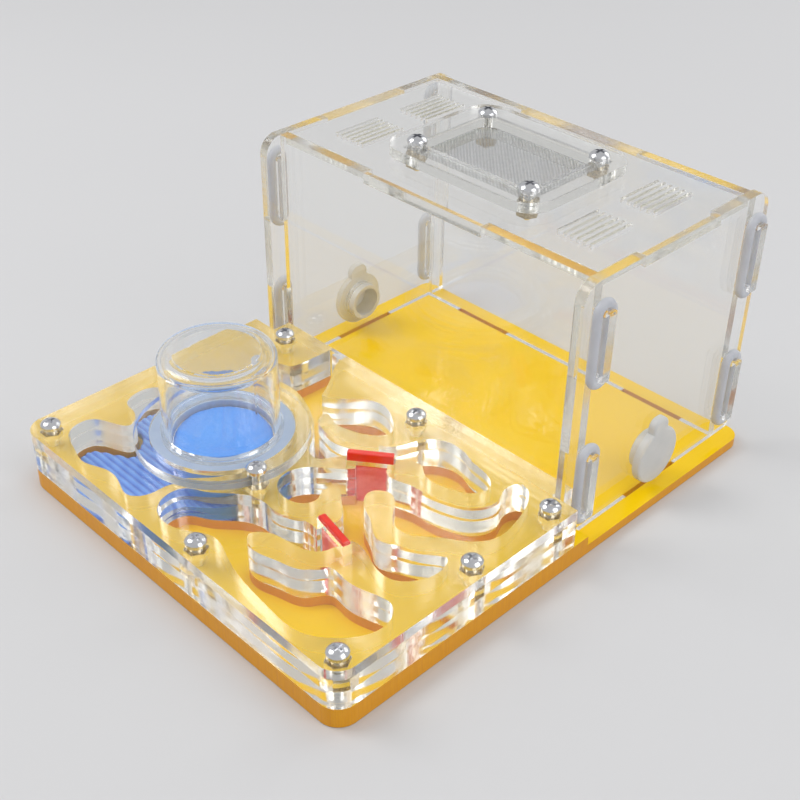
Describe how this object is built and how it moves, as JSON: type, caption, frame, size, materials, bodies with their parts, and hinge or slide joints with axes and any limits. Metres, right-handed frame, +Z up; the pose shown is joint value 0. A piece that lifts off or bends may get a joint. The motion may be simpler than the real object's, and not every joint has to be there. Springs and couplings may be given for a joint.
{
  "type": "ant habitat",
  "caption": "Acrylic ant nest of stacked clear sheets with tunnels, gates and a capped water feeder, joined to a boxed foraging area with a vented lid.",
  "frame": {"origin": "centre of the base plate's footprint, on its underside", "axes": "+X to the right of the nest, +Y from the nest's front towards the box's back, +Z up"},
  "size_m": [0.13, 0.1626, 0.0867],
  "materials": {
    "yellow_acrylic": "fluorescent yellow acrylic sheet",
    "clear_acrylic": "clear polished acrylic sheet",
    "clear_glass": "clear moulded cap",
    "red_acrylic": "red acrylic sheet",
    "blue_pad": "ribbed water pad",
    "blue_sponge": "fine blue sponge",
    "silicone": "translucent silicone",
    "chrome_steel": "bright plated screw",
    "brass_nut": "plated hex nut",
    "steel_mesh": "fine woven steel mesh"
  },
  "bodies": {
    "housing": {"base_plate": "yellow_acrylic", "tunnel_sheet_yellow": "yellow_acrylic", "spacer_sheet_clear": "clear_acrylic", "tunnel_sheet_lower": "clear_acrylic", "tunnel_sheet_upper": "clear_acrylic", "nest_cover": "clear_acrylic", "nest_screws": "chrome_steel", "nest_nuts": "brass_nut", "water_pad": "blue_pad", "water_sponge": "blue_sponge", "cap_seat_ring": "clear_acrylic", "cap_gasket": "silicone", "left_panel": "clear_acrylic", "right_panel": "clear_acrylic", "front_panel": "clear_acrylic", "back_panel": "clear_acrylic", "tab_rings": "silicone"},
    "lid": {"lid_panel": "clear_acrylic", "vent_mesh": "steel_mesh", "vent_frame": "clear_acrylic", "lid_screws": "chrome_steel", "lid_nuts": "brass_nut"},
    "feeder_cap": {"glass_cap": "clear_glass"},
    "back_gate": {"gate_back": "red_acrylic"},
    "front_gate": {"gate_front": "red_acrylic"},
    "right_plug": {"plug_right": "silicone"},
    "left_plug": {"plug_left": "silicone"}
  },
  "joints": [
    {"name": "lid_lift", "type": "slide", "parent": "housing", "child": "lid", "axis": [0, 0, 1], "range_m": [0, 0.04]},
    {"name": "cap_lift", "type": "slide", "parent": "housing", "child": "feeder_cap", "axis": [0, 0, 1], "range_m": [0, 0.02]},
    {"name": "back_gate_lift", "type": "slide", "parent": "housing", "child": "back_gate", "axis": [0, 0, 1], "range_m": [0, 0.013]},
    {"name": "front_gate_lift", "type": "slide", "parent": "housing", "child": "front_gate", "axis": [0, 0, 1], "range_m": [0, 0.013]},
    {"name": "right_plug_pull", "type": "slide", "parent": "housing", "child": "right_plug", "axis": [1, 0, 0], "range_m": [0, 0.015]},
    {"name": "left_plug_pull", "type": "slide", "parent": "housing", "child": "left_plug", "axis": [-1, 0, 0], "range_m": [0, 0.015]}
  ]
}
